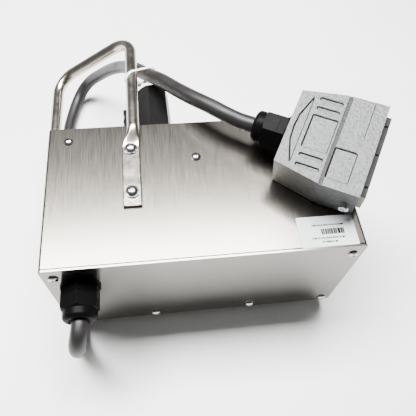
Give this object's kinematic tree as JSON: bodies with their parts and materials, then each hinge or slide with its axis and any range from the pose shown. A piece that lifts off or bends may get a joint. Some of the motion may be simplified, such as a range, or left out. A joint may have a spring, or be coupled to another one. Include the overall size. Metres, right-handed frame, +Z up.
{
  "type": "valve-jet date code print head",
  "caption": "Stainless box with a bent tube handle, a glanded cable to a rectangular connector, a rear ink filter and a row of valve-driven ink nozzles in one end",
  "frame": {"origin": "centre of the box's footprint, on the surface that its feet stand on", "axes": "+X along the box towards the nozzles, +Y away from the face with the cable gland, +Z up"},
  "size_m": [0.362, 0.4317, 0.2297],
  "materials": {
    "stainless_sheet": "stainless sheet, brushed along its depth",
    "stainless_plate": "stainless front plate, finely brushed",
    "gasket_rubber": "black cellular rubber",
    "screw_steel": "stainless fasteners",
    "handle_steel": "bright drawn stainless tube",
    "foot_rubber": "black rubber",
    "label_film": "white printed film",
    "gland_nylon": "black nylon with a slight gloss",
    "seal_rubber": "black rubber",
    "hood_paint": "light silver hammered paint",
    "insert_plastic": "beige glass-filled plastic",
    "contact_brass": "plated brass",
    "peg_steel": "bright steel",
    "cable_jacket": "warm mid-grey jacket",
    "tie_nylon": "white nylon",
    "fitting_steel": "turned stainless",
    "filter_media": "pleated off-white media",
    "bowl_plastic": "black moulded plastic",
    "inner_steel": "plain steel sheet",
    "standoff_brass": "plain brass",
    "board_green": "green solder mask",
    "component_black": "black moulded parts",
    "capacitor_sleeve": "dark blue sleeve",
    "terminal_green": "green terminal plastic",
    "wire_red": "red wire insulation",
    "tube_white": "translucent white fluoropolymer tube",
    "manifold_aluminium": "milled aluminium",
    "valve_steel": "turned stainless valve body"
  },
  "bodies": {
    "head": {"housing_shell": "stainless_sheet", "front_plate": "stainless_plate", "front_gasket": "gasket_rubber", "plate_screws": "screw_steel", "weld_nuts": "inner_steel", "top_screws": "screw_steel", "handle_tube": "handle_steel", "handle_screws": "screw_steel", "handle_washers": "screw_steel", "handle_nuts": "inner_steel", "foot_front_left": "foot_rubber", "foot_front_right": "foot_rubber", "foot_rear_left": "foot_rubber", "foot_rear_right": "foot_rubber", "foot_screws": "screw_steel", "blank_label": "label_film", "gland_body": "gland_nylon", "gland_seal": "seal_rubber", "gland_locknut": "gland_nylon", "plug_hood": "hood_paint", "plug_insert": "insert_plastic", "plug_contacts": "contact_brass", "plug_screws": "screw_steel", "plug_locking_pegs": "peg_steel", "plug_gland_body": "gland_nylon", "plug_gland_seal": "seal_rubber", "cable": "cable_jacket", "cable_tie": "tie_nylon", "box_cable_end": "cable_jacket", "plug_cable_end": "cable_jacket", "inlet_port": "fitting_steel", "inlet_locknut": "fitting_steel", "inlet_collar": "fitting_steel", "filter_element": "filter_media", "chassis": "inner_steel", "board_standoffs": "standoff_brass", "driver_board": "board_green", "valve_drivers": "component_black", "capacitors": "capacitor_sleeve", "terminal_block": "terminal_green", "core_wires": "wire_red", "supply_tube": "tube_white", "manifold": "manifold_aluminium", "valve_bodies": "valve_steel", "return_springs": "screw_steel", "nozzle_tubes": "tube_white", "nozzle_block": "fitting_steel", "nozzle_plate": "stainless_plate", "nozzle_screws": "screw_steel"},
    "gland_nut_body": {"gland_nut": "gland_nylon"},
    "plug_gland_nut_body": {"plug_gland_nut": "gland_nylon"},
    "bowl": {"filter_bowl": "bowl_plastic"},
    "valve_plunger_1": {"plunger_1": "valve_steel"},
    "valve_plunger_2": {"plunger_2": "valve_steel"},
    "valve_plunger_3": {"plunger_3": "valve_steel"},
    "valve_plunger_4": {"plunger_4": "valve_steel"},
    "valve_plunger_5": {"plunger_5": "valve_steel"},
    "valve_plunger_6": {"plunger_6": "valve_steel"},
    "valve_plunger_7": {"plunger_7": "valve_steel"}
  },
  "joints": [
    {"name": "gland_nut_turn", "type": "hinge", "parent": "head", "child": "gland_nut_body", "pos_m": [-0.12, -0.1, 0.124], "axis": [0, -1, 0], "continuous": true},
    {"name": "plug_gland_nut_turn", "type": "hinge", "parent": "head", "child": "plug_gland_nut_body", "pos_m": [0.07668, 0.03797, 0.19265], "axis": [-0.8644, 0.4991, -0.061], "continuous": true},
    {"name": "bowl_turn", "type": "hinge", "parent": "head", "child": "bowl", "pos_m": [-0.041, 0.11, 0.136], "axis": [0, -1, 0], "range_deg": [0, 90]},
    {"name": "plunger_1_slide", "type": "slide", "parent": "head", "child": "valve_plunger_1", "axis": [-1, 0, 0], "range_m": [0, 0.0008], "stiffness_N_per_m": 200, "springref_m": -0.002},
    {"name": "plunger_2_slide", "type": "slide", "parent": "head", "child": "valve_plunger_2", "axis": [-1, 0, 0], "range_m": [0, 0.0008], "stiffness_N_per_m": 200, "springref_m": -0.002},
    {"name": "plunger_3_slide", "type": "slide", "parent": "head", "child": "valve_plunger_3", "axis": [-1, 0, 0], "range_m": [0, 0.0008], "stiffness_N_per_m": 200, "springref_m": -0.002},
    {"name": "plunger_4_slide", "type": "slide", "parent": "head", "child": "valve_plunger_4", "axis": [-1, 0, 0], "range_m": [0, 0.0008], "stiffness_N_per_m": 200, "springref_m": -0.002},
    {"name": "plunger_5_slide", "type": "slide", "parent": "head", "child": "valve_plunger_5", "axis": [-1, 0, 0], "range_m": [0, 0.0008], "stiffness_N_per_m": 200, "springref_m": -0.002},
    {"name": "plunger_6_slide", "type": "slide", "parent": "head", "child": "valve_plunger_6", "axis": [-1, 0, 0], "range_m": [0, 0.0008], "stiffness_N_per_m": 200, "springref_m": -0.002},
    {"name": "plunger_7_slide", "type": "slide", "parent": "head", "child": "valve_plunger_7", "axis": [-1, 0, 0], "range_m": [0, 0.0008], "stiffness_N_per_m": 200, "springref_m": -0.002}
  ]
}
